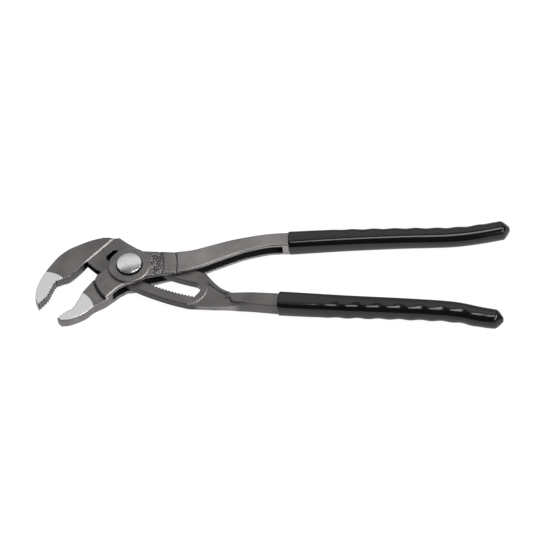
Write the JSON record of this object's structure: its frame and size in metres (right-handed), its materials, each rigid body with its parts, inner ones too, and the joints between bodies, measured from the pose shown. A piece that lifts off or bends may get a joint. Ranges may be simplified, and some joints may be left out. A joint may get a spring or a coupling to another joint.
{
  "type": "water pump pliers",
  "caption": "Push-button water pump pliers: box joint, arc slot with a toothed rack, serrated pipe jaws and dipped plastic handle grips.",
  "frame": {"origin": "pivot axis, at the rear face that the pliers lie on", "axes": "+X from the jaws to the handles' tails, +Y towards the channelled handle, +Z along the pivot axis to the button"},
  "size_m": [0.2453, 0.0656, 0.0137],
  "materials": {
    "forged_steel": "burnished dark forged steel",
    "dipped_plastic": "glossy black dipped plastic",
    "satin_steel": "satin bare steel",
    "hardened_steel": "plain hardened steel"
  },
  "bodies": {
    "outer_arm": {"outer_arm": "forged_steel", "upper_grip": "dipped_plastic"},
    "pivot": {"pivot_sleeve": "satin_steel", "rear_plug": "satin_steel", "retaining_ring": "hardened_steel"},
    "button": {"push_button": "satin_steel", "locking_bolt": "hardened_steel", "return_spring": "hardened_steel"},
    "inner_arm": {"inner_arm": "forged_steel", "lower_grip": "dipped_plastic"}
  },
  "joints": [
    {"name": "arm_pivot", "type": "hinge", "parent": "outer_arm", "child": "pivot", "pos_m": [0, 0, 0], "axis": [0, 0, 1], "range_deg": [-45, 11]},
    {"name": "jaw_adjust", "type": "hinge", "parent": "pivot", "child": "inner_arm", "pos_m": [0.06182, 0.10168, 0.0055], "axis": [0, 0, -1], "range_deg": [-1.7, 13.6]},
    {"name": "button_press", "type": "slide", "parent": "pivot", "child": "button", "axis": [0, 0, -1], "range_m": [0, 0.002], "stiffness_N_per_m": 1500, "springref_m": -0.004, "deforming": ["return_spring"]}
  ]
}
